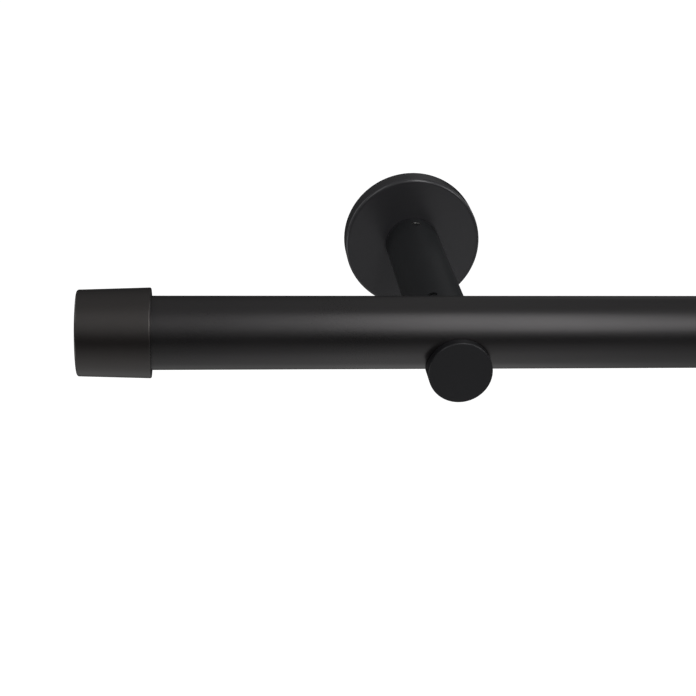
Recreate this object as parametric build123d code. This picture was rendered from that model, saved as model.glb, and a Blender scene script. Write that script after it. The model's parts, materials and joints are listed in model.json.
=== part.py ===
from build123d import *
import os

# Telescopic curtain rod on two wall brackets, in millimetres.
# The origin is the centre of the left bracket's back face, on the arm's axis.
# +X runs along the rod to the right, +Y into the wall and +Z up.
# The wall is the plane Y = 0, so the whole rod stands at negative Y.
# The rod is shown pushed together: the slim tube is almost wholly inside the outer one.

# Rod tubes
outer_tube_diameter = 25.4
outer_tube_wall = 0.8
inner_tube_diameter = 22.2
inner_tube_wall = 0.8
tube_end_chamfer = 0.2
bracket_spacing = 451.6
rod_overhang = 129.7
outer_tube_gap = 6.0
inner_tube_gap = 8.0

# Guide bush in the mouth of the outer tube and glide on the hidden end of the slim tube
bush_length = 16.0
bush_flange = 1.5
bush_flange_inset = 0.2
bush_slit = 1.5
glide_head_length = 9.0
glide_stem_length = 14.0
glide_bore = 15.0
glide_slots = 4
glide_slot_width = 2.4
glide_slot_length = 6.5
guide_chamfer = 0.3

# End caps: turned cups, a little wider at the mouth than at the closed end
cap_length = 25.1
cap_mouth_diameter = 31.0
cap_end_diameter = 29.5
cap_end_wall = 3.0
cap_end_chamfer = 0.45
cap_mouth_chamfer = 0.3
cap_lead_chamfer = 0.3
cap_tube_gap = 0.5
cap_screw_inset = 9.0
cap_sleeve_length = 19.6
cap_sleeve_slit = 4.6

# Wall base: a steel disc with a post, screwed to the wall under the cover
base_diameter = 47.0
base_thickness = 3.0
base_edge_chamfer = 0.4
post_diameter = 16.0
post_length = 26.0
post_chamfer = 0.8
post_groove_depth = 0.6
wall_screw_circle = 32.0
wall_screw_count = 3
wall_screw_hole = 4.4
wall_screw_head = 8.6

# Cover over the base: a pressed cup whose front edge is rounded
cover_diameter = 56.0
cover_depth = 9.0
cover_wall = 1.2
cover_edge_round = 1.4

# Arm: a thick tube from the cover to the cradle
arm_diameter = 22.2
arm_end_chamfer = 0.25
rod_offset = 123.0
arm_screw_inset = 6.5
cradle_screw_inset = 9.5
cradle_screw_angle = -25.0

# Cradle: the front of the arm, with the notch that the rod lies in and a stem in the arm
rod_rise = 8.1
cradle_lip = 3.5
cradle_back = 7.0
cradle_front_chamfer = 0.3
stem_length = 50.0
stem_flat_depth = 0.6
stem_flat_start = 4.5
stem_flat_stop = 3.0
stem_chamfer = 1.0

# Grub screws
arm_screw_diameter = 4.0
cradle_screw_diameter = 5.0
cap_screw_diameter = 4.0
grub_key_share = 0.5
grub_socket_depth = 1.4
grub_chamfer = 0.4
arm_screw_sink = 0.6
cap_screw_sink = 0.2

# Clearances
sliding_clear = 0.05
seat_clear = 0.1
rest_clear = 0.3
tip_clear = 0.1

outer_r = outer_tube_diameter / 2
outer_bore_r = outer_r - outer_tube_wall
inner_r = inner_tube_diameter / 2
inner_bore_r = inner_r - inner_tube_wall
post_r = post_diameter / 2
arm_r = arm_diameter / 2
arm_bore_r = post_r + sliding_clear
cap_bore_r = outer_r + seat_clear
cover_r = cover_diameter / 2

# Places along the rod, measured from the left bracket's middle
left_end_x = -rod_overhang
right_end_x = bracket_spacing + rod_overhang
outer_start_x = left_end_x + cap_end_wall + cap_tube_gap
outer_end_x = bracket_spacing - arm_r - outer_tube_gap - bush_flange
inner_start_x = outer_start_x + inner_tube_gap + glide_head_length
inner_end_x = right_end_x - cap_end_wall - cap_tube_gap

# Places along the arm, measured from the wall
rod_y = -rod_offset
notch_r = outer_r + rest_clear
arm_front = rod_offset - notch_r - cradle_back
cradle_front = rod_offset + notch_r + cradle_lip

rod_line = Location((0, rod_y, rod_rise))
# The right bracket stands higher by what the slim tube is thinner, so both tubes share one axis.
right_bracket = Location((bracket_spacing, 0, outer_r - inner_r))


def turned(points, axis):
    """Solid of revolution of a closed outline in the XY plane."""
    return revolve(make_face(Polyline(*points, close=True)), axis=axis)


def turned_on_arm(points):
    """Turned piece on the arm's axis, from (radius, distance from the wall) pairs."""
    return turned([(radius, -distance) for radius, distance in points], Axis.Y)


def bar_across(radius, x_start, x_end):
    """Round bar along X."""
    return Plane.YZ.offset(x_start) * Cylinder(
        radius, x_end - x_start, align=(Align.CENTER, Align.CENTER, Align.MIN)
    )


def radial_on_arm(distance, angle):
    """Frame on the arm's axis whose +Z points out at an angle from the top, positive to the right."""
    return Pos(0, -distance, 0) * Rot(0, angle, 0)


def radial_on_rod(x):
    """Frame on the rod's axis whose +Z points straight down."""
    return Pos(x, 0, 0) * Rot(180, 0, 0)


def screw_hole(diameter, depth):
    """Tapped hole from an axis outwards, at the screw's outer diameter."""
    return Cylinder(
        diameter / 2 + sliding_clear, depth, align=(Align.CENTER, Align.CENTER, Align.MIN)
    )


def grub_screw(diameter, tip_at, head_at):
    """Headless screw with a hexagon socket, between two distances from an axis."""
    length = head_at - tip_at
    radius = diameter / 2
    body = Cylinder(radius, length, align=(Align.CENTER, Align.CENTER, Align.MIN))
    body = chamfer(body.edges(), grub_chamfer)
    hexagon = RegularPolygon(diameter * grub_key_share / 2, 6, major_radius=False)
    socket = extrude(hexagon, grub_socket_depth)
    body -= Pos(0, 0, length - grub_socket_depth) * socket
    return Pos(0, 0, tip_at) * body


def wall_base():
    """Disc with countersunk screw holes and a grooved post for the arm."""
    groove_at = cover_depth + arm_screw_inset
    groove_r = post_r - post_groove_depth
    floor_half = arm_screw_diameter / 2 + sliding_clear
    mouth_half = floor_half + post_groove_depth
    post_end = base_thickness + post_length
    base = turned_on_arm(
        [
            (0, 0),
            (base_diameter / 2, 0),
            (base_diameter / 2, base_thickness - base_edge_chamfer),
            (base_diameter / 2 - base_edge_chamfer, base_thickness),
            (post_r, base_thickness),
            (post_r, groove_at - mouth_half),
            (groove_r, groove_at - floor_half),
            (groove_r, groove_at + floor_half),
            (post_r, groove_at + mouth_half),
            (post_r, post_end - post_chamfer),
            (post_r - post_chamfer, post_end),
            (0, post_end),
        ]
    )
    hole_r = wall_screw_hole / 2
    head_r = wall_screw_head / 2
    sink_depth = head_r - hole_r
    for spot in PolarLocations(wall_screw_circle / 2, wall_screw_count, start_angle=90):
        front = Plane.XZ * spot
        hole = Cylinder(hole_r, base_thickness, align=(Align.CENTER, Align.CENTER, Align.MIN))
        sink = Cone(hole_r, head_r, sink_depth, align=(Align.CENTER, Align.CENTER, Align.MAX))
        base -= front * (hole + Pos(0, 0, base_thickness) * sink)
    return base


def wall_cover():
    """Thin pressed cup with a rounded front edge and a hole for the post."""
    inner_chamfer = max(cover_edge_round - cover_wall, cover_wall / 4)
    hole_r = post_r + rest_clear
    rim_bore_r = cover_r - cover_wall
    inside = cover_depth - cover_wall
    outline = make_face(
        Polyline(
            (cover_r, 0),
            (cover_r, -cover_depth),
            (hole_r, -cover_depth),
            (hole_r, -inside),
            (rim_bore_r - inner_chamfer, -inside),
            (rim_bore_r, inner_chamfer - inside),
            (rim_bore_r, 0),
            close=True,
        )
    )
    front_corner = outline.vertices().sort_by_distance((cover_r, -cover_depth))[0]
    return revolve(fillet(front_corner, cover_edge_round), axis=Axis.Y)


def arm_tube():
    """Thick tube clamped over the post, with a tapped hole near each end."""
    tube = turned_on_arm(
        [
            (arm_bore_r, cover_depth),
            (arm_r - arm_end_chamfer, cover_depth),
            (arm_r, cover_depth + arm_end_chamfer),
            (arm_r, arm_front - arm_end_chamfer),
            (arm_r - arm_end_chamfer, arm_front),
            (arm_bore_r, arm_front),
        ]
    )
    rear_hole = screw_hole(arm_screw_diameter, arm_diameter)
    front_hole = screw_hole(cradle_screw_diameter, arm_diameter)
    tube -= radial_on_arm(cover_depth + arm_screw_inset, 0) * rear_hole
    tube -= radial_on_arm(arm_front - cradle_screw_inset, cradle_screw_angle) * front_hole
    return tube


def arm_screw():
    """Grub screw on top of the arm that holds it in the post's groove."""
    screw = grub_screw(
        arm_screw_diameter, post_r - post_groove_depth + tip_clear, arm_r - arm_screw_sink
    )
    return radial_on_arm(cover_depth + arm_screw_inset, 0) * screw


def cradle():
    """Front of the arm: a round block notched for the rod, on a stem that slides in the arm."""
    stem_end = arm_front - stem_length
    block = turned_on_arm(
        [
            (0, cradle_front),
            (arm_r - cradle_front_chamfer, cradle_front),
            (arm_r, cradle_front - cradle_front_chamfer),
            (arm_r, arm_front + arm_end_chamfer),
            (arm_r - arm_end_chamfer, arm_front),
            (post_r, arm_front),
            (post_r, stem_end + stem_chamfer),
            (post_r - stem_chamfer, stem_end),
            (0, stem_end),
        ]
    )
    notch = bar_across(notch_r, -arm_r, arm_r)
    mouth = Box(arm_diameter, 2 * notch_r, arm_diameter, align=(Align.CENTER, Align.CENTER, Align.MIN))
    block -= rod_line * (notch + mouth)
    flat_length = stem_length - stem_flat_start - stem_flat_stop
    flat = Box(
        post_diameter, flat_length, post_r, align=(Align.CENTER, Align.MIN, Align.MIN)
    )
    flat_at = Pos(0, 0, post_r - stem_flat_depth)
    block -= radial_on_arm(arm_front - stem_flat_start, cradle_screw_angle) * flat_at * flat
    return block


def cradle_screw():
    """Grub screw at the front of the arm that bears on the stem's flat."""
    screw = grub_screw(
        cradle_screw_diameter, post_r - stem_flat_depth + tip_clear, arm_r - arm_screw_sink
    )
    return radial_on_arm(arm_front - cradle_screw_inset, cradle_screw_angle) * screw


def tube(radius, bore_r, x_start, x_end):
    """Round tube along X with broken outer edges."""
    return turned(
        [
            (x_start, bore_r),
            (x_start, radius - tube_end_chamfer),
            (x_start + tube_end_chamfer, radius),
            (x_end - tube_end_chamfer, radius),
            (x_end, radius - tube_end_chamfer),
            (x_end, bore_r),
        ],
        Axis.X,
    )


def tube_bush():
    """Split plastic bush in the outer tube's mouth that the slim tube runs through."""
    bore_r = inner_r + sliding_clear
    body_r = outer_bore_r - sliding_clear
    flange_r = outer_r - bush_flange_inset
    start = outer_end_x - bush_length
    bush = turned(
        [
            (start, bore_r),
            (start, body_r - guide_chamfer),
            (start + guide_chamfer, body_r),
            (outer_end_x, body_r),
            (outer_end_x, flange_r),
            (outer_end_x + bush_flange - guide_chamfer, flange_r),
            (outer_end_x + bush_flange, flange_r - guide_chamfer),
            (outer_end_x + bush_flange, bore_r),
        ],
        Axis.X,
    )
    slit = Box(
        bush_length + bush_flange, bush_slit, outer_r, align=(Align.MIN, Align.CENTER, Align.MAX)
    )
    return bush - Pos(start, 0, 0) * slit


def tube_glide():
    """Plastic glide in the slim tube's hidden end, with a slotted springy head."""
    head_r = outer_bore_r - sliding_clear
    stem_r = inner_bore_r - sliding_clear
    head_start = inner_start_x - glide_head_length
    glide = turned(
        [
            (head_start, glide_bore / 2),
            (head_start, head_r - guide_chamfer),
            (head_start + guide_chamfer, head_r),
            (inner_start_x - guide_chamfer, head_r),
            (inner_start_x, head_r - guide_chamfer),
            (inner_start_x, stem_r),
            (inner_start_x + glide_stem_length - guide_chamfer, stem_r),
            (inner_start_x + glide_stem_length, stem_r - guide_chamfer),
            (inner_start_x + glide_stem_length, glide_bore / 2),
        ],
        Axis.X,
    )
    slot = Box(
        glide_slot_length, glide_slot_width, outer_r, align=(Align.MIN, Align.CENTER, Align.MIN)
    )
    for index in range(glide_slots):
        turn = Rot(index * 360 / glide_slots + 45, 0, 0)
        glide -= Pos(head_start, 0, 0) * turn * slot
    return glide


def end_cap():
    """Turned cup, closed end at X = 0 and mouth towards +X, with a tapped hole underneath."""
    mouth_r = cap_mouth_diameter / 2
    end_r = cap_end_diameter / 2
    cap = turned(
        [
            (0, 0),
            (0, end_r - cap_end_chamfer),
            (cap_end_chamfer, end_r),
            (cap_length - cap_mouth_chamfer, mouth_r),
            (cap_length, mouth_r - cap_mouth_chamfer),
            (cap_length, cap_bore_r + cap_lead_chamfer),
            (cap_length - cap_lead_chamfer, cap_bore_r),
            (cap_end_wall, cap_bore_r),
            (cap_end_wall, 0),
        ],
        Axis.X,
    )
    hole = screw_hole(cap_screw_diameter, cap_mouth_diameter)
    return cap - radial_on_rod(cap_length - cap_screw_inset) * hole


def cap_skin_r():
    """Outside radius of the tapered cap where its screw sits."""
    share = (cap_length - cap_screw_inset) / cap_length
    return (cap_end_diameter + share * (cap_mouth_diameter - cap_end_diameter)) / 2


def cap_screw(tube_r):
    """Grub screw under a cap that bears on the tube inside it."""
    screw = grub_screw(cap_screw_diameter, tube_r + tip_clear, cap_skin_r() - cap_screw_sink)
    return radial_on_rod(cap_length - cap_screw_inset) * screw


def cap_sleeve():
    """Split sleeve that fills the same cap round the slim tube, open below for the screw."""
    sleeve = turned(
        [
            (0, inner_r + seat_clear),
            (0, outer_r - guide_chamfer),
            (guide_chamfer, outer_r),
            (cap_sleeve_length - guide_chamfer, outer_r),
            (cap_sleeve_length, outer_r - guide_chamfer),
            (cap_sleeve_length, inner_r + seat_clear),
        ],
        Axis.X,
    )
    slit = Box(
        cap_sleeve_length, cap_sleeve_slit, outer_r, align=(Align.MIN, Align.CENTER, Align.MAX)
    )
    return Pos(cap_length - cap_sleeve_length, 0, 0) * (sleeve - slit)


def at_left_end(piece):
    """Place a cap piece on the left end of the rod."""
    return rod_line * Pos(left_end_x, 0, 0) * piece


def at_right_end(piece):
    """Place a cap piece on the right end of the rod, turned round so that its mouth faces left."""
    return rod_line * Pos(right_end_x, 0, 0) * Rot(0, 0, 180) * piece


bracket_pieces = {
    "wall_base": wall_base(),
    "wall_cover": wall_cover(),
    "arm_tube": arm_tube(),
    "arm_screw": arm_screw(),
    "cradle": cradle(),
    "cradle_screw": cradle_screw(),
}

nodes = {}
for name, piece in bracket_pieces.items():
    nodes["left_" + name] = piece
    nodes["right_" + name] = right_bracket * piece

nodes["outer_tube"] = rod_line * tube(outer_r, outer_bore_r, outer_start_x, outer_end_x)
nodes["inner_tube"] = rod_line * tube(inner_r, inner_bore_r, inner_start_x, inner_end_x)
nodes["outer_tube_bush"] = rod_line * tube_bush()
nodes["inner_tube_glide"] = rod_line * tube_glide()
nodes["left_end_cap"] = at_left_end(end_cap())
nodes["left_cap_screw"] = at_left_end(cap_screw(outer_r))
nodes["right_end_cap"] = at_right_end(end_cap())
nodes["right_cap_screw"] = at_right_end(cap_screw(inner_r))
nodes["right_cap_sleeve"] = at_right_end(cap_sleeve())

os.makedirs("parts", exist_ok=True)
for name, piece in nodes.items():
    export_step(piece, "parts/" + name + ".step")
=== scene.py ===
# %% [markdown]
# A satin black curtain rod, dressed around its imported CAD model.
# The pieces already have their true shape, because they are turned and drilled parts: tubes, cups, discs.
# So this lesson is mostly about three things: how black paint shows its form through soft reflections,
# how small edges catch the light, and how a studio is built for a black object on a white ground.

import json
import math

import bmesh
import bpy
from mathutils import Matrix, Vector


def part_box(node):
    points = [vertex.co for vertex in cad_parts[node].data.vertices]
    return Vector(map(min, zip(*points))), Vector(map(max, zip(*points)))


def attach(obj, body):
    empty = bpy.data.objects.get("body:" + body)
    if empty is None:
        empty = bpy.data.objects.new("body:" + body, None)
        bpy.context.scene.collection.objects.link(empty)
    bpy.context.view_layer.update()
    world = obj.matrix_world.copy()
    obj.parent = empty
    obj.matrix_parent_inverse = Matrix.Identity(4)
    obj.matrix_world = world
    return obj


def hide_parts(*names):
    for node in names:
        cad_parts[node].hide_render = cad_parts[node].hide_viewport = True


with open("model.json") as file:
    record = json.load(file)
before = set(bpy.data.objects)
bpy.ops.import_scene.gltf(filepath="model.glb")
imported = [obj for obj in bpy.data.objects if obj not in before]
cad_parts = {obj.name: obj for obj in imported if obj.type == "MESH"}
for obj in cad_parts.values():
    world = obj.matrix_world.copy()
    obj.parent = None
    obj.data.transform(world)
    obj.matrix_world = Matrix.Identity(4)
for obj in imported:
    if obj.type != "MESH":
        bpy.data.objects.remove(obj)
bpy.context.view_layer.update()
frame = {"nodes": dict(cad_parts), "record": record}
MM = 0.001


def in_mm(vector):
    """Numbers of a vector in millimetres, rounded for printing."""
    return [round(value / MM, 1) for value in vector]


# %% [markdown]
# The real picture was taken from a little above and a little left, with a long lens: the tube hardly gets
# smaller to the right, yet the wall plate, more than 11 cm behind the tube, is seen clearly above it.
# A camera can be pointed with an "aim at" constraint, but a real tripod also leans a degree or two.
# So the camera is set by three angles, as a photographer would read them off the tripod head.

# %% Lens and tripod
PHOTO_PIXELS = 696
FOCAL_PIXELS = 1530.8
SENSOR = 36.0
CLOSEST_SEEN = 0.01
FARTHEST_SEEN = 60
camera_place = Vector((-86.7, -607.4, 213.3)) * MM
camera_yaw = math.radians(5.842)
camera_pitch = math.radians(23.431)
camera_roll = math.radians(2.176)
print("camera in mm:", in_mm(camera_place))


# %% Three directions of a tripod head
def camera_axes(yaw, pitch, roll):
    """Right, up and viewing directions of a camera turned right by yaw, down by pitch and rolled."""
    ahead = Vector((math.sin(yaw) * math.cos(pitch), math.cos(yaw) * math.cos(pitch), -math.sin(pitch)))
    level = Vector((math.cos(yaw), -math.sin(yaw), 0))
    above = level.cross(ahead)
    right = level * math.cos(roll) + above * math.sin(roll)
    up = above * math.cos(roll) - level * math.sin(roll)
    return right, up, ahead


# %% Camera
camera_data = bpy.data.cameras.new("camera")
camera_data.sensor_width = SENSOR
camera_data.lens = SENSOR * FOCAL_PIXELS / PHOTO_PIXELS
camera_data.clip_start = CLOSEST_SEEN
camera_data.clip_end = FARTHEST_SEEN
camera = bpy.data.objects.new("camera", camera_data)
bpy.context.scene.collection.objects.link(camera)
right, up, ahead = camera_axes(camera_yaw, camera_pitch, camera_roll)
turn = Matrix((right, up, -ahead)).transposed().to_4x4()
camera.matrix_world = Matrix.Translation(camera_place) @ turn
bpy.context.scene.camera = camera
print("lens in mm:", round(camera_data.lens, 1))

# %% [markdown]
# A render can be toned like film, which lifts the shadows and rolls off the whites. That flatters a bright
# room, but here it would turn black paint grey and the white ground dull. The plain view keeps each tone as
# the light gives it, so a reflection can be judged against the picture by its number.

# %% Plain tones
scene = bpy.context.scene
scene.view_settings.view_transform = "Standard"
scene.view_settings.look = "None"
print("view:", scene.view_settings.view_transform)

# %% [markdown]
# Light and paint are both made of nodes here. They could be joined by hand in the editor, but code shows
# each value and can be run again. Four small helpers keep it short: one adds a node, one lays a ramp of tones
# over a grey value, and two mix a pair of colours or a pair of numbers. A new ramp has two stops, so more are
# added from the third on. The mix node has sockets of the same name for numbers, vectors and colours, so
# these are picked by their place: first, second and result.


# %% Helpers for node graphs
def add(tree, kind, place=(0, 0), **settings):
    """New node of a kind in a tree, with its own settings."""
    made = tree.nodes.new(kind)
    made.location = place
    for name, value in settings.items():
        setattr(made, name, value)
    return made


STOPS_AT_FIRST = 2


def ramp(tree, source, stops, place=(0, 0)):
    """Colour ramp over a grey source, from (position, grey or colour) stops."""
    made = add(tree, "ShaderNodeValToRGB", place)
    elements = made.color_ramp.elements
    for index, (position, colour) in enumerate(stops):
        element = elements[index] if index < STOPS_AT_FIRST else elements.new(position)
        element.position = position
        rgb = (colour,) * 3 if isinstance(colour, (int, float)) else colour
        element.color = (*rgb, 1)
    tree.links.new(source, made.inputs["Fac"])
    return made.outputs["Color"]


# %% Helpers that mix
COLOUR_SOCKETS = (6, 7, 2)
NUMBER_SOCKETS = (2, 3, 0)


def mix_colours(tree, share, first, second, place=(0, 0)):
    """Blend of two colours that goes from the first to the second as a grey share goes from 0 to 1."""
    first_in, second_in, result = COLOUR_SOCKETS
    made = add(tree, "ShaderNodeMix", place, data_type="RGBA")
    tree.links.new(share, made.inputs["Factor"])
    tree.links.new(first, made.inputs[first_in])
    tree.links.new(second, made.inputs[second_in])
    return made.outputs[result]


def mix_numbers(tree, share, first, second, place=(0, 0)):
    """Blend of two grey values with a fixed share of the second."""
    first_in, second_in, result = NUMBER_SOCKETS
    made = add(tree, "ShaderNodeMix", place, data_type="FLOAT")
    made.inputs["Factor"].default_value = share
    tree.links.new(first, made.inputs[first_in])
    tree.links.new(second, made.inputs[second_in])
    return made.outputs[result]


# %% [markdown]
# Black paint has almost no colour of its own. What the eye reads as its shape is the room in its surface.
# In the picture the tube has one soft bright band a third of the way down, a dark band below its middle, and
# it gets lighter again towards its lower edge. The bright band is light from high in front, the dark band is
# the unlit room at the height of the camera, and the lighter edge is the pale floor.
# A white world would wash all that out. So the room has its own brightness for each height: dim at eye level
# in front, nearly black behind the wall, an even grey at the sides, and paler towards ceiling and floor.


# %% Room brightness by height
def by_elevation(stops):
    """Ramp stops over (sine + 1) / 2 from (degrees above the horizon, brightness) pairs."""
    return [((math.sin(math.radians(degrees)) + 1) / 2, glow) for degrees, glow in stops]


front_glow = by_elevation([
    (-90, 0.56), (-60, 0.56), (-40, 0.42), (-20, 0.24), (-9, 0.09),
    (5, 0.06), (25, 0.34), (48, 0.50), (78, 0.36),
])
back_glow = by_elevation([
    (-90, 0.56), (-62, 0.40), (-45, 0.12), (-25, 0.03), (-8, 0.03),
    (12, 0.06), (18, 0.08), (27, 0.12), (52, 0.27), (80, 0.37),
])
side_glow = by_elevation([(-90, 0.50), (-30, 0.38), (0, 0.27), (40, 0.36), (80, 0.42)])
print("steps in front, behind and at the sides:", len(front_glow), len(back_glow), len(side_glow))

# %% [markdown]
# The room has no walls: it is a world shader, which gives a colour to each direction. A direction comes as
# three numbers from -1 to 1, so each is first brought into 0 to 1, where a ramp can read it.
# Height then picks the tone, and two more ramps share it out between the front, the back and the sides.

# %% World and its directions
world = bpy.data.worlds.new("studio")
scene.world = world
world.use_nodes = True
sky = world.node_tree
sky.nodes.clear()
direction = add(sky, "ShaderNodeTexCoord", (-1200, 0))
components = add(sky, "ShaderNodeSeparateXYZ", (-1000, 0))
sky.links.new(direction.outputs["Generated"], components.inputs[0])


def unit(source, place):
    """Turns a direction's component from the range -1 to 1 into 0 to 1."""
    made = add(sky, "ShaderNodeMapRange", place)
    made.inputs["From Min"].default_value = -1
    sky.links.new(source, made.inputs["Value"])
    return made.outputs["Result"]


height = unit(components.outputs["Z"], (-800, 100))
behind = unit(components.outputs["Y"], (-800, -150))
sideways = unit(components.outputs["X"], (-800, -400))
print("world:", world.name)

# %% Front, back and sides of the room
BEHIND_SHARE = [(0.40, 0.0), (0.62, 1.0)]
SIDE_SHARE = [(0.12, 1.0), (0.24, 0.0), (0.76, 0.0), (0.88, 1.0)]
front = ramp(sky, height, front_glow, (-550, 200))
back = ramp(sky, height, back_glow, (-550, -50))
side = ramp(sky, height, side_glow, (-550, 450))
behind_share = ramp(sky, behind, BEHIND_SHARE, (-550, -300))
side_share = ramp(sky, sideways, SIDE_SHARE, (-550, -750))
front_and_back = mix_colours(sky, behind_share, front, back, (-250, 100))
whole_room = mix_colours(sky, side_share, front_and_back, side, (-100, 250))
room_light = add(sky, "ShaderNodeBackground", (0, 100))
sky.links.new(whole_room, room_light.inputs["Color"])
print("tones joined in:", room_light.name)

# %% [markdown]
# A straight tube is a flat mirror along its length, so each place on it shows one sideways direction of the
# room. In the picture its band is brightest a little right of the middle, and it fades to both sides.
# A lamp there would also light the plate and the arm. So the room itself gets stronger in that direction:
# a ramp over left and right sets its strength, at half scale, because a ramp ends at 1.

# %% Strength of the room from left to right
HALF_STRENGTHS = [
    (0.33, 0.50), (0.505, 0.46), (0.533, 0.45), (0.56, 0.78),
    (0.593, 0.82), (0.616, 0.54), (0.645, 0.34), (0.75, 0.46),
]
FULL_SCALE = 2.0
half_strength = ramp(sky, sideways, HALF_STRENGTHS, (-550, -500))
strength = add(sky, "ShaderNodeMath", (-250, -300), operation="MULTIPLY")
strength.inputs[1].default_value = FULL_SCALE
sky.links.new(half_strength, strength.inputs[0])
sky.links.new(strength.outputs[0], room_light.inputs["Strength"])
print("strongest part of the room:", FULL_SCALE * max(share for place, share in HALF_STRENGTHS))

# %% [markdown]
# The picture's ground is pure white, but a white room would grey the paint. A cut-out could be pasted on
# white afterwards, yet then the edges would be wrong. Here the world asks what kind of ray meets it: a ray
# straight from the camera sees white, and all others, such as reflections, see the dim room.

# %% White ground for the camera alone
WHITE = (1.0, 1.0, 1.0)
ground = add(sky, "ShaderNodeBackground", (0, -100))
ground.inputs["Color"].default_value = (*WHITE, 1)
ray = add(sky, "ShaderNodeLightPath", (0, 350))
choose = add(sky, "ShaderNodeMixShader", (250, 0))
sky.links.new(ray.outputs["Is Camera Ray"], choose.inputs["Fac"])
sky.links.new(room_light.outputs[0], choose.inputs[1])
sky.links.new(ground.outputs[0], choose.inputs[2])
output = add(sky, "ShaderNodeOutputWorld", (450, 0))
sky.links.new(choose.outputs[0], output.inputs["Surface"])
print("nodes in the world:", len(sky.nodes))

# %% [markdown]
# The floor is a wide pale sheet well below the rod. A real floor would also send its light up into the
# paint, but that light is already in the room's own tones, where it can be set more finely.
# So the floor is shown to the camera only, with a little glow of its own, so that no horizon shows.


# %% Flat sheets
def flat_sheet(name, half_wide, half_deep, height=0.0):
    """Rectangle of one face at a height, centred on its own Z axis."""
    signs = ((-1, -1), (1, -1), (1, 1), (-1, 1))
    corners = [(sign_x * half_wide, sign_y * half_deep, height) for sign_x, sign_y in signs]
    mesh = bpy.data.meshes.new(name)
    mesh.from_pydata(corners, [], [(0, 1, 2, 3)])
    sheet = bpy.data.objects.new(name, mesh)
    scene.collection.objects.link(sheet)
    return sheet


# %% Floor
FLOOR_DROP = 1.5
FLOOR_HALF = 14.0
FLOOR_TONE = (0.85, 0.85, 0.855)
FLOOR_ROUGHNESS = 0.9
FLOOR_GLOW = 0.8
floor = flat_sheet("floor", FLOOR_HALF, FLOOR_HALF, -FLOOR_DROP)
floor_material = bpy.data.materials.new("pale_floor")
floor_material.use_nodes = True
floor_shader = floor_material.node_tree.nodes["Principled BSDF"]
floor_shader.inputs["Base Color"].default_value = (*FLOOR_TONE, 1)
floor_shader.inputs["Roughness"].default_value = FLOOR_ROUGHNESS
floor_shader.inputs["Emission Color"].default_value = (*WHITE, 1)
floor_shader.inputs["Emission Strength"].default_value = FLOOR_GLOW
floor.data.materials.append(floor_material)
floor.visible_glossy = False
floor.visible_diffuse = False
print("floor in m below the wall plate's centre:", FLOOR_DROP)

# %% [markdown]
# A softbox is a lamp behind a sheet of cloth. Its reflection in a tube is a band, and the band's edges are as
# soft as the cloth's glow is at its rim. A plain area lamp has a hard rim, which would draw two lines on the
# paint. So each softbox is a sheet whose glow is even in the middle and fades towards its rim: a round
# gradient does that, once the sheet's own places, which run from 0 to 1, are brought into -1 to 1.
# Each is see-through and hidden from the camera, so that it casts no shadow and never stands in the picture.


# %% Glow of a softbox
def soft_glow(name, brightness, rim):
    """Light of a softbox, even in its middle and fading over the rim share, on a see-through sheet."""
    material = bpy.data.materials.new(name)
    material.use_nodes = True
    tree = material.node_tree
    tree.nodes.clear()
    place = add(tree, "ShaderNodeTexCoord", (-900, 0)).outputs["Generated"]
    centred = add(tree, "ShaderNodeMapping", (-700, 0))
    centred.inputs["Location"].default_value = (-1, -1, 0)
    centred.inputs["Scale"].default_value = (2, 2, 0)
    tree.links.new(place, centred.inputs["Vector"])
    fade = add(tree, "ShaderNodeTexGradient", (-500, 0), gradient_type="SPHERICAL")
    tree.links.new(centred.outputs["Vector"], fade.inputs["Vector"])
    glow = ramp(tree, fade.outputs["Fac"], [(0.0, 0.0), (rim, 1.0)], (-300, 0))
    light = add(tree, "ShaderNodeEmission", (0, 0))
    light.inputs["Strength"].default_value = brightness
    tree.links.new(glow, light.inputs["Color"])
    clear = add(tree, "ShaderNodeBsdfTransparent", (0, -150))
    both = add(tree, "ShaderNodeAddShader", (200, 0))
    tree.links.new(light.outputs[0], both.inputs[0])
    tree.links.new(clear.outputs[0], both.inputs[1])
    output = add(tree, "ShaderNodeOutputMaterial", (400, 0))
    tree.links.new(both.outputs[0], output.inputs["Surface"])
    return material


# %% Softbox on its stand
ROD_MIDDLE = Vector((20, -123, 8)) * MM


def softbox(name, bearing, elevation, distance, size, brightness, rim=0.6, lean=0.0):
    """Sheet of light that faces the rod: degrees right of straight in front, degrees up, size in metres."""
    away = Vector((
        math.sin(math.radians(bearing)) * math.cos(math.radians(elevation)),
        -math.cos(math.radians(bearing)) * math.cos(math.radians(elevation)),
        math.sin(math.radians(elevation)),
    ))
    panel = flat_sheet(name, size[0] / 2, size[1] / 2)
    facing = (-away).to_track_quat("Z", "Y").to_matrix().to_4x4()
    leaning = Matrix.Rotation(math.radians(lean), 4, "Z")
    panel.matrix_world = Matrix.Translation(ROD_MIDDLE + away * distance) @ (facing @ leaning)
    panel.data.materials.append(soft_glow(name, brightness, rim))
    panel.visible_camera = False
    return panel


# %% [markdown]
# The key light makes the tube's bright band. It is tall and narrow, stands high in front, and leans a little,
# so that the band keeps its place on the tube from end to end. The low light lifts the underside.
# The small lights at the sides are there for the rims: each puts one glint on the round edge of the wall
# plate and of the front disc, and where the light stands sets where on the edge its glint sits.

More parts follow.
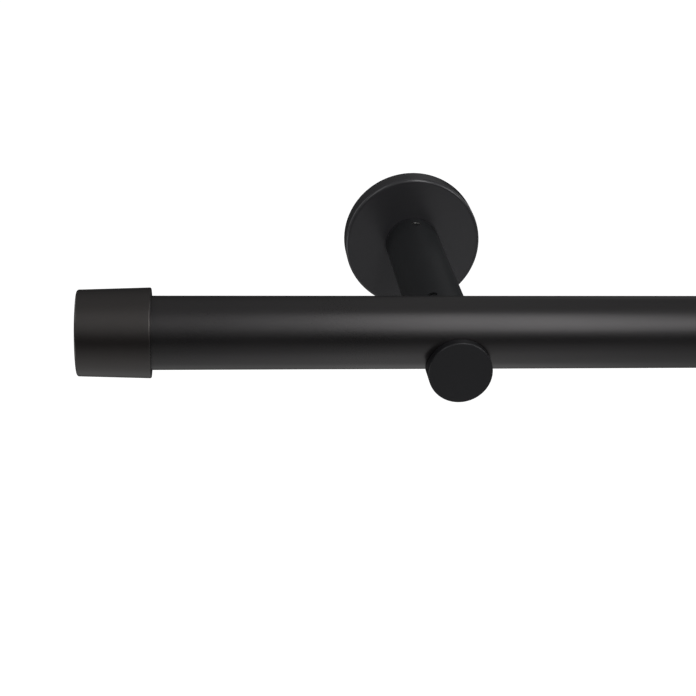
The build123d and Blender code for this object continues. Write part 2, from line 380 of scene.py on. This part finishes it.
# %% Lights in front
front_lights = [
    softbox("key_light", bearing=19.5, elevation=50, distance=1.6, size=(0.48, 2.4),
            brightness=4.5, rim=0.4, lean=12),
    softbox("low_light", bearing=13, elevation=-46, distance=1.3, size=(0.45, 2.3), brightness=0.4),
    softbox("left_light", bearing=-62, elevation=47, distance=1.5, size=(0.5, 0.8), brightness=4.0),
    softbox("left_low_light", bearing=-80, elevation=-22, distance=1.0, size=(0.6, 0.6), brightness=1.8),
    softbox("right_light", bearing=58, elevation=33, distance=0.6, size=(0.36, 0.36), brightness=4.6),
]
print("lights in front:", len(front_lights))

# %% [markdown]
# The part is also looked at from behind, where the room is nearly black. Three softboxes stand there. They
# keep well behind the rod, or they would graze the plate and draw bright lines on it in the front view.

# %% Lights behind
back_lights = [
    softbox("back_light", bearing=160, elevation=17, distance=1.5, size=(0.6, 0.5), brightness=0.2),
    softbox("back_right_light", bearing=124, elevation=12, distance=1.4, size=(0.6, 1.2), brightness=1.6),
    softbox("back_left_light", bearing=-126, elevation=12, distance=1.4, size=(0.6, 1.2), brightness=1.4),
]
print("lights behind:", len(back_lights))

# %% [markdown]
# Powder coat is sprayed dry and baked, so it is even, without brush marks. Close up it is not smooth:
# it has a shallow orange peel about a millimetre across, and a much finer grain that softens reflections.
# Painting such detail as an image would blur or repeat, so it is made from noise in the piece's own space.
# Three sizes of noise are used: clouds 6 cm wide that shift colour and gloss, the orange peel, which tilts
# the surface, and the grain, which mostly roughens it. Noise seldom leaves the span from 0.3 to 0.7, so that
# span is stretched over the whole range of a finish.

# %% Sizes of the noise in powder coat
CLOUD_MM = 60
GRAIN_MM = 0.25
NOISE_SPAN = (0.3, 0.7)
CLOUD_SHADES = (0.86, 1.16)
GRAIN_IN_GLOSS = 0.5
GRAIN_IN_HILLS = 0.18
PEEL_UNIT = 0.1 * MM
print("clouds and grain in mm:", CLOUD_MM, GRAIN_MM)


# %% Noise and gloss
def noise(tree, place, size_mm, detail, at):
    """Noise in a piece's own space, whose blobs are about as wide as a size in millimetres."""
    made = add(tree, "ShaderNodeTexNoise", at)
    made.inputs["Scale"].default_value = 1 / (size_mm * MM)
    made.inputs["Detail"].default_value = detail
    tree.links.new(place, made.inputs["Vector"])
    return made


def gloss(tree, source, roughness, spread, at):
    """Roughness that follows a grey source, by a spread up and down from its middle."""
    made = add(tree, "ShaderNodeMapRange", at)
    made.inputs["From Min"].default_value = NOISE_SPAN[0]
    made.inputs["From Max"].default_value = NOISE_SPAN[1]
    made.inputs["To Min"].default_value = roughness - spread
    made.inputs["To Max"].default_value = roughness + spread
    tree.links.new(source, made.inputs["Value"])
    return made.outputs["Result"]


# %% Powder coat
NOISE_CONTRAST = 0.55


def paint(name, colour, roughness, sheen=(1, 1, 1), shine=0.5, peel=0.10, peel_size=1.2, grain=0.05):
    """Baked black powder coat. Its peel is peel tenths of a mm deep and peel_size mm across.

    Sheen tints the reflection and shine sets its strength. Grain is how far the roughness varies.
    """
    material = bpy.data.materials.new(name)
    material.use_nodes = True
    tree = material.node_tree
    shader = tree.nodes["Principled BSDF"]
    shader.inputs["Specular Tint"].default_value = (*sheen, 1)
    shader.inputs["Specular IOR Level"].default_value = shine
    place = add(tree, "ShaderNodeTexCoord", (-1300, 0)).outputs["Object"]
    patterns = [
        noise(tree, place, CLOUD_MM, detail=3, at=(-1000, 300)),
        noise(tree, place, peel_size, detail=2, at=(-1000, -300)),
        noise(tree, place, GRAIN_MM, detail=2, at=(-1000, 0)),
    ]
    for pattern in patterns:
        pattern.inputs["Roughness"].default_value = NOISE_CONTRAST
    clouds, orange, fine = [pattern.outputs["Fac"] for pattern in patterns]

    shades = [[part * shade for part in colour] for shade in CLOUD_SHADES]
    tone = ramp(tree, clouds, list(zip(NOISE_SPAN, shades)), (-700, 300))
    tree.links.new(tone, shader.inputs["Base Color"])
    cloud_and_grain = mix_numbers(tree, GRAIN_IN_GLOSS, clouds, fine, (-700, 0))
    tree.links.new(gloss(tree, cloud_and_grain, roughness, grain, (-450, 0)), shader.inputs["Roughness"])

    bump = add(tree, "ShaderNodeBump", (-450, -300))
    bump.inputs["Strength"].default_value = 1.0
    bump.inputs["Distance"].default_value = peel * PEEL_UNIT
    tree.links.new(mix_numbers(tree, GRAIN_IN_HILLS, orange, fine, (-700, -300)), bump.inputs["Height"])
    tree.links.new(bump.outputs["Normal"], shader.inputs["Normal"])
    return material


# %% [markdown]
# The pieces were sprayed in the same black, yet they don't shine alike. The tube is
# neutral with a clear band. The cap is a shade browner and darker in itself. The wall plate is the smoothest
# and mirrors the room most sharply, the front disc is duller, and the arm hardly shines at all: its light is
# spread over its whole side. The plate's coat is also a lighter copy of the arm's black, which is painted
# light, and the disc's coat a darker copy, which is painted shade. One paint for all would be simpler, but
# then arm and disc would look wet.

# %% Paints of the rod and its brackets
tube_paint = paint(
    "tube_paint", colour=(0.0080, 0.0075, 0.0078), roughness=0.31,
    sheen=(1.0, 0.97, 0.985),
)
cap_paint = paint(
    "cap_paint", colour=(0.0040, 0.0030, 0.0028), roughness=0.31,
    sheen=(1.0, 0.95, 0.93), shine=0.76, grain=0.03,
)
arm_paint = paint(
    "arm_paint", colour=(0.0168, 0.0176, 0.0188), roughness=0.36,
    sheen=(0.96, 0.99, 1.0), shine=0.10, peel=0.12,
)
# The front disc's coat is a darker copy of the bracket black: painted shade.
shaded_cradle_paint = paint(
    "shaded_cradle_paint", colour=(0.0078, 0.0078, 0.0090), roughness=0.40,
    sheen=(0.98, 0.98, 1.0), shine=0.36, peel=0.12,
)
# The plate's coat is a lighter copy of the bracket black: painted light for the brighter light on the plate.
lit_cover_paint = paint(
    "lit_cover_paint", colour=(0.0242, 0.0239, 0.0260), roughness=0.25,
    sheen=(0.98, 0.98, 1.0), peel=0.12, grain=0.02,
)
print("paints:", [coat.name for coat in (tube_paint, cap_paint, arm_paint, shaded_cradle_paint, lit_cover_paint)])

# %% [markdown]
# The base on the wall is bright zinc plate: a metal, so its colour is in its reflection. The screws are steel
# with black oxide, a thin dark film that stays metallic where a key has rubbed it. Both could be one even
# grey, but plating always varies a little in patches, so one noise drives colour, gloss and a trace of bump.

# %% Plated metal
PATCH_SHADE = 0.8


def metal(name, colour, roughness, spread, size_mm, depth_mm):
    """Plated metal whose tone and gloss vary in patches of a size, with bumps of a depth."""
    material = bpy.data.materials.new(name)
    material.use_nodes = True
    tree = material.node_tree
    shader = tree.nodes["Principled BSDF"]
    shader.inputs["Metallic"].default_value = 1.0
    place = add(tree, "ShaderNodeTexCoord", (-1100, 0)).outputs["Object"]
    patches = noise(tree, place, size_mm, detail=4, at=(-850, 0)).outputs["Fac"]
    shades = [[part * PATCH_SHADE for part in colour], colour]
    tone = ramp(tree, patches, list(zip(NOISE_SPAN, shades)), (-550, 200))
    tree.links.new(tone, shader.inputs["Base Color"])
    tree.links.new(gloss(tree, patches, roughness, spread, (-550, -50)), shader.inputs["Roughness"])
    bump = add(tree, "ShaderNodeBump", (-550, -300))
    bump.inputs["Distance"].default_value = depth_mm * MM
    tree.links.new(patches, bump.inputs["Height"])
    tree.links.new(bump.outputs["Normal"], shader.inputs["Normal"])
    return material


# %% [markdown]
# The base is faced on a lathe before it is plated, and the plating is too thin to hide the tool's rings.
# They could be modelled, but they are a few hundredths of a millimetre deep. A wave texture draws them round
# the middle of the piece's box, and a second bump lays them over the first. At scale 1 the wave turns by
# 20 radians over the width of the box, and the scale follows from that.

# %% Lathe rings
WAVE_RADIANS = 20
RING_WOBBLE = 0.4
BOX_MIDDLE = 0.5


def turned(material, ring_width_mm, disc_width_mm, depth_mm):
    """Adds the fine rings that a lathe leaves on a disc's face, centred on the piece's own box."""
    tree = material.node_tree
    shader = tree.nodes["Principled BSDF"]
    place = add(tree, "ShaderNodeTexCoord", (-1100, -600)).outputs["Generated"]
    centred = add(tree, "ShaderNodeMapping", (-900, -600))
    centred.inputs["Location"].default_value = (-BOX_MIDDLE,) * 3
    tree.links.new(place, centred.inputs["Vector"])
    rings = add(tree, "ShaderNodeTexWave", (-700, -600), wave_type="RINGS", rings_direction="Y")
    rings.inputs["Scale"].default_value = 2 * math.pi * disc_width_mm / (WAVE_RADIANS * ring_width_mm)
    rings.inputs["Distortion"].default_value = RING_WOBBLE
    tree.links.new(centred.outputs["Vector"], rings.inputs["Vector"])
    groove = add(tree, "ShaderNodeBump", (-300, -450))
    groove.inputs["Distance"].default_value = depth_mm * MM
    tree.links.new(rings.outputs["Fac"], groove.inputs["Height"])
    tree.links.new(tree.nodes["Bump"].outputs["Normal"], groove.inputs["Normal"])
    tree.links.new(groove.outputs["Normal"], shader.inputs["Normal"])


# %% Zinc plate and black oxide
zinc = metal(
    "zinc_plate", colour=(0.68, 0.69, 0.70), roughness=0.42,
    spread=0.05, size_mm=1.5, depth_mm=0.003,
)
turned(zinc, ring_width_mm=0.5, disc_width_mm=52, depth_mm=0.02)
oxide = metal(
    "screw_black", colour=(0.055, 0.056, 0.06), roughness=0.38,
    spread=0.08, size_mm=0.6, depth_mm=0.004,
)
print("metals:", zinc.name, oxide.name)

# %% [markdown]
# The guides inside the tubes are moulded nylon: a little rough, slightly mottled, without metal shine.
# A moulded skin could get a recipe of its own, but it is made up as the powder coat is, only rougher and with
# a finer texture, so the paint's function makes it too.

# %% Nylon
nylon = paint(
    "black_nylon", colour=(0.012, 0.012, 0.0125), roughness=0.55,
    peel=0.2, peel_size=0.8, grain=0.06,
)
print("nylon:", nylon.name)

# %% [markdown]
# The record names a finish for each piece, so the paints could be given out by hand, one line a piece. A loop
# over the record does it without forgetting any. The record gives all bracket pieces one black, but the plate
# gets a lighter copy of it, which is painted light, and the front disc a darker copy, which is painted shade.

# %% Paint the carried-over pieces
finishes = {
    "tube_paint": tube_paint,
    "cap_paint": cap_paint,
    "bracket_paint": arm_paint,
    "zinc_plate": zinc,
    "screw_black": oxide,
    "black_nylon": nylon,
}
# The plate's lighter coat is painted light, and the disc's darker coat is painted shade.
lit_and_shaded_coats = {"wall_cover": lit_cover_paint, "cradle": shaded_cradle_paint}
for row in frame["record"]["subparts"]:
    piece = frame["nodes"][row["node"]]
    finish = finishes[row["material_slot"]]
    for ending, coat in lit_and_shaded_coats.items():
        if row["node"].endswith(ending):
            finish = coat
    piece.material_slots[0].material = finish
print("painted", len(frame["nodes"]), "pieces with", len(finishes) + len(lit_and_shaded_coats), "finishes")

# %% [markdown]
# No real edge is perfectly sharp: a turning tool leaves it broken, and powder coat rounds it further.
# A sharp edge in a render gives itself away, because it catches no light. The CAD pieces already have their
# chamfers, so a weld joins their faces and a small bevel rounds each remaining corner.
# Weighted normals then keep the flat faces flat and let only the round corner turn the light.

# %% Soft edges
WELD_MM = 0.002
CORNER_DEGREES = 24
CORNER_STEPS = 3
FULL_WEIGHT = 100


def soften(piece, radius_mm):
    """Rounds the corners of a carried-over piece by a small radius."""
    weld = piece.modifiers.new("joined_faces", "WELD")
    weld.merge_threshold = WELD_MM * MM
    bevel = piece.modifiers.new("soft_edges", "BEVEL")
    bevel.limit_method = "ANGLE"
    bevel.angle_limit = math.radians(CORNER_DEGREES)
    bevel.width = radius_mm * MM
    bevel.segments = CORNER_STEPS
    bevel.use_clamp_overlap = False
    bevel.miter_outer = "MITER_ARC"
    shade = piece.modifiers.new("flat_stays_flat", "WEIGHTED_NORMAL")
    shade.weight = FULL_WEIGHT
    shade.keep_sharp = False


# %% Soften the edges that show
SOFT_EDGES = {"end_cap": 0.20, "cradle": 0.10, "wall_base": 0.12, "outer_tube": 0.05, "inner_tube": 0.05}
softened = []
for name, piece in frame["nodes"].items():
    for ending, radius in SOFT_EDGES.items():
        if name.endswith(ending):
            soften(piece, radius)
            softened.append(name)
print("softened:", softened)

# %% [markdown]
# A grub screw is a short threaded rod with a hexagon socket in one end and a hollow cup in the other.
# The CAD leaves the thread out. A thread could be cut by a screw modifier, but that gives loose ends which
# never meet the end faces. Here the whole screw is one closed skin of rings instead: each ring has the same
# number of points, and on the threaded stretch a point's radius follows a wave that climbs as it turns.

# %% Rings of points
TURN_POINTS = 96
TURN_ANGLES = [2 * math.pi * index / TURN_POINTS for index in range(TURN_POINTS)]


def round_ring(radius, height):
    """Ring of points about Z in millimetres; the radius may be a number or a rule from the angle."""
    points = []
    for angle in TURN_ANGLES:
        reach = radius(angle) if callable(radius) else radius
        points.append(Vector((reach * math.cos(angle), reach * math.sin(angle), height)) * MM)
    return points


def hexagon(flat_radius):
    """Rule for a hexagon whose flats lie at a radius."""
    sixth = math.pi / 3
    return lambda angle: flat_radius / math.cos((angle + sixth / 2) % sixth - sixth / 2)


def thread_phase(height, pitch, angle):
    """Place within one turn of a thread, from 0 to 1."""
    return (height / pitch - angle / (2 * math.pi)) % 1


print("points in a ring:", len(TURN_ANGLES))

# %% Skin over rings
SHARP_DEGREES = 40


def ring_skin(name, rings, tips=None):
    """Closed skin from rings of equal length, ended by two points, or joined round like a washer."""
    mesh = bpy.data.meshes.new(name)
    build = bmesh.new()
    rows = [[build.verts.new(point) for point in ring] for ring in rings]
    pairs = list(zip(rows, rows[1:]))
    if tips is None:
        pairs.append((rows[-1], rows[0]))
    else:
        start, end = (build.verts.new(tip) for tip in tips)
    for index in range(TURN_POINTS):
        after = (index + 1) % TURN_POINTS
        if tips is not None:
            build.faces.new((start, rows[0][after], rows[0][index]))
            build.faces.new((end, rows[-1][index], rows[-1][after]))
        for lower, upper in pairs:
            build.faces.new((lower[index], lower[after], upper[after], upper[index]))
    for face in build.faces:
        face.smooth = True
    build.to_mesh(mesh)
    build.free()
    mesh.set_sharp_from_angle(angle=math.radians(SHARP_DEGREES))
    piece = bpy.data.objects.new(name, mesh)
    scene.collection.objects.link(piece)
    return piece


# %% [markdown]
# From below, the screw starts with a cup: a hollow cone that bites into what the screw presses on.
# Then comes the thread, which fades out over a short lead at both ends so that it starts easily.
# At the top the key goes into a hexagon socket with a small bevel round its mouth and a drilled cone below.
# All of it could be cut out of a cylinder, but cuts leave ragged faces. Rings that step down into the cup
# and the socket give the same shape as one clean skin. Lengths here are in millimetres; the thread's depth
# is a share of its pitch, and the cone's width a share of the key's.

# %% Measures of a grub screw
CREST_GAP = 0.02
THREAD_DEPTH = 0.55
LEAD_EXTRA = 0.05
FLANK_SLOPE = 1.5
FLANK_START = 0.2
RINGS_PER_TURN = 10
CUP_DEPTH = 0.45
CUP_CENTRE = 0.05
CUP_LIP = 0.12
CUP_LIP_DROP = 0.02
SOCKET_BEVEL = 0.1
SOCKET_DEPTH = 1.3
CONE_DEPTH = 1.5
CONE_SHARE = 0.25
TIP_DEPTH = 1.6
print("socket and cup depth in mm:", TIP_DEPTH, CUP_DEPTH)


# %% Grub screw
def grub_screw(name, diameter, length, pitch, key):
    """Set screw along Z from its cup point at 0 to its socket end, in millimetres."""
    crest = diameter / 2 - CREST_GAP
    depth = THREAD_DEPTH * pitch
    lead = depth + LEAD_EXTRA
    socket = hexagon(key / 2)

    def thread(height):
        def radius(angle):
            climb = abs(2 * thread_phase(height, pitch, angle) - 1)
            wave = min(1.0, max(0.0, climb * FLANK_SLOPE - FLANK_START))
            free = min(height, length - height)
            return min(crest - depth * (1 - wave), crest - lead + free)
        return radius

    steps = round(length / pitch * RINGS_PER_TURN)
    heights = [length * step / steps for step in range(1, steps)]
    cup = [
        round_ring(crest * CUP_CENTRE, CUP_DEPTH),
        round_ring(crest - lead - CUP_LIP, CUP_LIP_DROP),
        round_ring(crest - lead, 0.0),
    ]
    threaded = [round_ring(thread(height), height) for height in heights]
    top = [
        round_ring(crest - lead, length),
        round_ring(lambda angle: socket(angle) + SOCKET_BEVEL, length),
        round_ring(socket, length - SOCKET_BEVEL),
        round_ring(socket, length - SOCKET_DEPTH),
        round_ring(key * CONE_SHARE, length - CONE_DEPTH),
    ]
    tips = (Vector((0, 0, CUP_DEPTH)) * MM, Vector((0, 0, length - TIP_DEPTH)) * MM)
    return ring_skin(name, cup + threaded + top, tips)


# %% [markdown]
# A new piece has to move with the body of the CAD piece it stands for, and that CAD piece is hidden. The
# bodies are written in the record, so one helper looks them up instead of repeating them by hand, where a
# slip would leave a screw hanging in the air when the rod is pulled out, and a second helper attaches the
# piece and hides the old one.


# %% Bodies and stand-ins
def body_of(node):
    """Name of the body that a CAD node moves with."""
    bodies = frame["record"]["behaviour"]["bodies"]
    return next(body for body, nodes in bodies.items() if node in nodes)


def stands_for(piece, node):
    """Lets a new piece take a CAD node's place: it moves with that node's body, and the node is hidden."""
    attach(piece, body_of(node))
    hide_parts(node)


# %% [markdown]
# Each end has three grub screws: one on top of the arm near the plate, one just behind the rod that leans to
# the left by 25 degrees, and one under the cap. The cap's screw takes its length from its CAD stand-in,
# because it is longer at the right end, where the thinner tube lies deeper inside the same cap.
# Sizes are in millimetres and leans in degrees.

# %% Six grub screws
SCREWS = {
    "arm_screw": {"diameter": 4.0, "pitch": 0.7, "key": 2.0, "lean": 0.0, "length": 3.0},
    "cradle_screw": {"diameter": 5.0, "pitch": 0.8, "key": 2.5, "lean": -25.0, "length": 3.0},
    "cap_screw": {"diameter": 4.0, "pitch": 0.7, "key": 2.0, "lean": 180.0, "length": None},
}
for side in ("left", "right"):
    for kind, sizes in SCREWS.items():
        node = side + "_" + kind
        low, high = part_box(node)
        length = sizes["length"] or (high.z - low.z) / MM
        screw = grub_screw(node + "_threaded", sizes["diameter"], length, sizes["pitch"], sizes["key"])
        lean = Matrix.Rotation(math.radians(sizes["lean"]), 4, "Y")
        centre = (low + high) / 2
        screw.data.transform(Matrix.Translation(centre) @ lean @ Matrix.Translation((0, 0, -length / 2 * MM)))
        screw.data.materials.append(oxide)
        stands_for(screw, node)
        print(node, "length in mm:", round(length, 2))

# %% [markdown]
# The screw close to the wall plate is loosened each time the arm is taken off, and its hole shows a bright
# dash: there the key and the screw have worn the paint off the thread. It could be a stripe in the paint,
# but that lies flat and gives no edge. Here the hole gets a thin threaded washer of worn steel above the
# sunk screw. Its upper edge follows the round of the arm, a little below the paint.

# %% Threaded washer
ARM_RADIUS = 11.1
RIM_INTO_WALL = 0.02
RIM_BELOW_PAINT = 0.2
RIM_STEPS = 5
WORN_GAP = 0.04
WORN_DEPTH = 0.3
WORN_SLOPE = 1.4


def tapped_rim(name, diameter, pitch, floor_height):
    """Threaded washer about Z, from a height up to the round of an arm that lies along Y."""
    reach = diameter / 2 + RIM_INTO_WALL

    def ring(height_share, radius_at):
        points = []
        for angle in TURN_ANGLES:
            top = math.sqrt(ARM_RADIUS ** 2 - (reach * math.cos(angle)) ** 2) - RIM_BELOW_PAINT
            height = floor_height + (top - floor_height) * height_share
            radius = radius_at(angle, height)
            points.append(Vector((radius * math.cos(angle), radius * math.sin(angle), height)) * MM)
        return points

    def outside(angle, height):
        return reach

    def thread(angle, height):
        climb = abs(2 * thread_phase(height, pitch, angle) - 1)
        return diameter / 2 - WORN_GAP - WORN_DEPTH * pitch * min(1.0, climb * WORN_SLOPE)

    rings = [ring(0.0, outside), ring(1.0, outside)]
    rings += [ring(1 - step / RIM_STEPS, thread) for step in range(RIM_STEPS + 1)]
    return ring_skin(name, rings)


# %% Worn thread in the arm's holes
SCREW_SINK = 0.6
RIM_OVER_SCREW = 0.02
worn_steel = metal(
    "worn_thread", colour=(0.20, 0.20, 0.195), roughness=0.42,
    spread=0.06, size_mm=0.5, depth_mm=0.004,
)
for side in ("left", "right"):
    sizes = SCREWS["arm_screw"]
    floor_height = ARM_RADIUS - SCREW_SINK + RIM_OVER_SCREW
    rim = tapped_rim(side + "_arm_thread", sizes["diameter"], sizes["pitch"], floor_height)
    low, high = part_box(side + "_arm_screw")
    arm_low, arm_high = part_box(side + "_arm_tube")
    place = (arm_low + arm_high) / 2
    place.y = (low.y + high.y) / 2
    rim.data.transform(Matrix.Translation(place))
    rim.data.materials.append(worn_steel)
    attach(rim, body_of(side + "_arm_tube"))
    print(rim.name, "at", in_mm(place))
